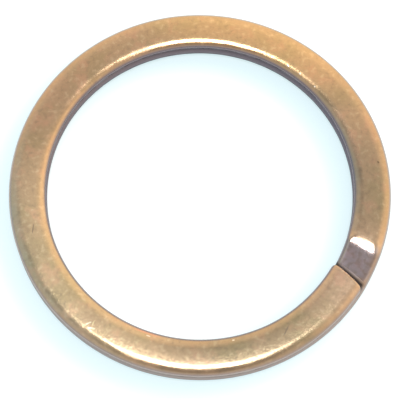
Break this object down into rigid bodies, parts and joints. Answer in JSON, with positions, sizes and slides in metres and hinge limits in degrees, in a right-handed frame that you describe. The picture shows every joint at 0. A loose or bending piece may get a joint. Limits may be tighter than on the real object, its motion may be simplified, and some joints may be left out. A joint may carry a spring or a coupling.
{
  "type": "split key ring",
  "caption": "Flat-wire split key ring: one springy wire wound twice round, with a stepped crossover bend and two free ends that pry apart to take a key.",
  "frame": {"origin": "centre of the face the ring lies on", "axes": "+Z along the ring's axis, from the lower turn to the upper turn; the crossover bend is 23 degrees clockwise of +X, seen from above"},
  "size_m": [0.032, 0.032, 0.0021],
  "materials": {
    "antique_brass": "satin antique brass plate, tumbled, mottled tan with golden worn edges",
    "crossover_bronze": "the same plate, darker and purple-brown where the wire is bent, bright on the bend"
  },
  "bodies": {
    "root": {"upper_fixed_quarter_1": "antique_brass", "upper_fixed_quarter_2": "antique_brass", "lower_fixed_quarter_1": "antique_brass", "lower_fixed_quarter_2": "antique_brass", "crossover_head_bend": "crossover_bronze", "crossover_ramp": "crossover_bronze", "crossover_foot_bend": "crossover_bronze"},
    "upper_stretch_7": {"upper_free_stretch_7": "antique_brass"},
    "upper_stretch_6": {"upper_free_stretch_6": "antique_brass"},
    "upper_stretch_5": {"upper_free_stretch_5": "antique_brass"},
    "upper_stretch_4": {"upper_free_stretch_4": "antique_brass"},
    "upper_stretch_3": {"upper_free_stretch_3": "antique_brass"},
    "upper_stretch_2": {"upper_free_stretch_2": "antique_brass"},
    "upper_tip": {"upper_end_tip": "antique_brass"},
    "lower_stretch_7": {"lower_free_stretch_7": "antique_brass"},
    "lower_stretch_6": {"lower_free_stretch_6": "antique_brass"},
    "lower_stretch_5": {"lower_free_stretch_5": "antique_brass"},
    "lower_stretch_4": {"lower_free_stretch_4": "antique_brass"},
    "lower_stretch_3": {"lower_free_stretch_3": "antique_brass"},
    "lower_stretch_2": {"lower_free_stretch_2": "antique_brass"},
    "lower_tip": {"lower_end_tip": "antique_brass"}
  },
  "joints": [
    {"name": "upper_end_pry", "type": "hinge", "parent": "root", "child": "upper_stretch_7", "pos_m": [-0.01432, 0.00196, 0.00159], "axis": [-0.3262, -0.9453, 0], "range_deg": [0, 1.44], "stiffness_Nm_per_rad": 2},
    {"name": "upper_flex_6", "type": "hinge", "parent": "upper_stretch_7", "child": "upper_stretch_6", "pos_m": [-0.01398, -0.00367, 0.00159], "axis": [-0.1355, -0.9908, 0], "range_deg": [0, 1.36]},
    {"name": "upper_flex_5", "type": "hinge", "parent": "upper_stretch_6", "child": "upper_stretch_5", "pos_m": [-0.01151, -0.00874, 0.00159], "axis": [0.0604, -0.9982, 0], "range_deg": [0, 1.22]},
    {"name": "upper_flex_4", "type": "hinge", "parent": "upper_stretch_5", "child": "upper_stretch_4", "pos_m": [-0.00729, -0.01248, 0.00159], "axis": [0.254, -0.9672, 0], "range_deg": [0, 1.04]},
    {"name": "upper_flex_3", "type": "hinge", "parent": "upper_stretch_4", "child": "upper_stretch_3", "pos_m": [-0.00196, -0.01432, 0.00159], "axis": [0.4378, -0.8991, 0], "range_deg": [0, 0.818]},
    {"name": "upper_flex_2", "type": "hinge", "parent": "upper_stretch_3", "child": "upper_stretch_2", "pos_m": [0.00367, -0.01398, 0.00159], "axis": [0.6048, -0.7964, 0], "range_deg": [0, 0.5635]},
    {"name": "upper_flex_1", "type": "hinge", "parent": "upper_stretch_2", "child": "upper_tip", "pos_m": [0.00874, -0.01151, 0.00159], "axis": [0.7485, -0.6631, 0], "range_deg": [0, 0.2873]},
    {"name": "lower_end_pry", "type": "hinge", "parent": "root", "child": "lower_stretch_7", "pos_m": [-0.01128, 0.00904, 0.00052], "axis": [0.4612, 0.8873, 0], "range_deg": [0, 1.44], "stiffness_Nm_per_rad": 2},
    {"name": "lower_flex_6", "type": "hinge", "parent": "lower_stretch_7", "child": "lower_stretch_6", "pos_m": [-0.00696, 0.01266, 0.00052], "axis": [0.6254, 0.7803, 0], "range_deg": [0, 1.36]},
    {"name": "lower_flex_5", "type": "hinge", "parent": "lower_stretch_6", "child": "lower_stretch_5", "pos_m": [-0.00158, 0.01436, 0.00052], "axis": [0.7656, 0.6433, 0], "range_deg": [0, 1.22]},
    {"name": "lower_flex_4", "type": "hinge", "parent": "lower_stretch_5", "child": "lower_stretch_4", "pos_m": [0.00403, 0.01388, 0.00052], "axis": [0.8764, 0.4816, 0], "range_deg": [0, 1.04]},
    {"name": "lower_flex_3", "type": "hinge", "parent": "lower_stretch_4", "child": "lower_stretch_3", "pos_m": [0.00904, 0.01128, 0.00052], "axis": [0.9535, 0.3013, 0], "range_deg": [0, 0.818]},
    {"name": "lower_flex_2", "type": "hinge", "parent": "lower_stretch_3", "child": "lower_stretch_2", "pos_m": [0.01266, 0.00696, 0.00052], "axis": [0.994, 0.1095, 0], "range_deg": [0, 0.5635]},
    {"name": "lower_flex_1", "type": "hinge", "parent": "lower_stretch_2", "child": "lower_tip", "pos_m": [0.01436, 0.00158, 0.00052], "axis": [0.9963, -0.0865, 0], "range_deg": [0, 0.2873]}
  ],
  "couplings": [
    {"joint": "upper_flex_6", "follows": "upper_end_pry", "ratio": 0.94198},
    {"joint": "upper_flex_5", "follows": "upper_end_pry", "ratio": 0.84776},
    {"joint": "upper_flex_4", "follows": "upper_end_pry", "ratio": 0.72096},
    {"joint": "upper_flex_3", "follows": "upper_end_pry", "ratio": 0.56645},
    {"joint": "upper_flex_2", "follows": "upper_end_pry", "ratio": 0.39018},
    {"joint": "upper_flex_1", "follows": "upper_end_pry", "ratio": 0.19891},
    {"joint": "lower_flex_6", "follows": "lower_end_pry", "ratio": 0.94198},
    {"joint": "lower_flex_5", "follows": "lower_end_pry", "ratio": 0.84776},
    {"joint": "lower_flex_4", "follows": "lower_end_pry", "ratio": 0.72096},
    {"joint": "lower_flex_3", "follows": "lower_end_pry", "ratio": 0.56645},
    {"joint": "lower_flex_2", "follows": "lower_end_pry", "ratio": 0.39018},
    {"joint": "lower_flex_1", "follows": "lower_end_pry", "ratio": 0.19891}
  ]
}
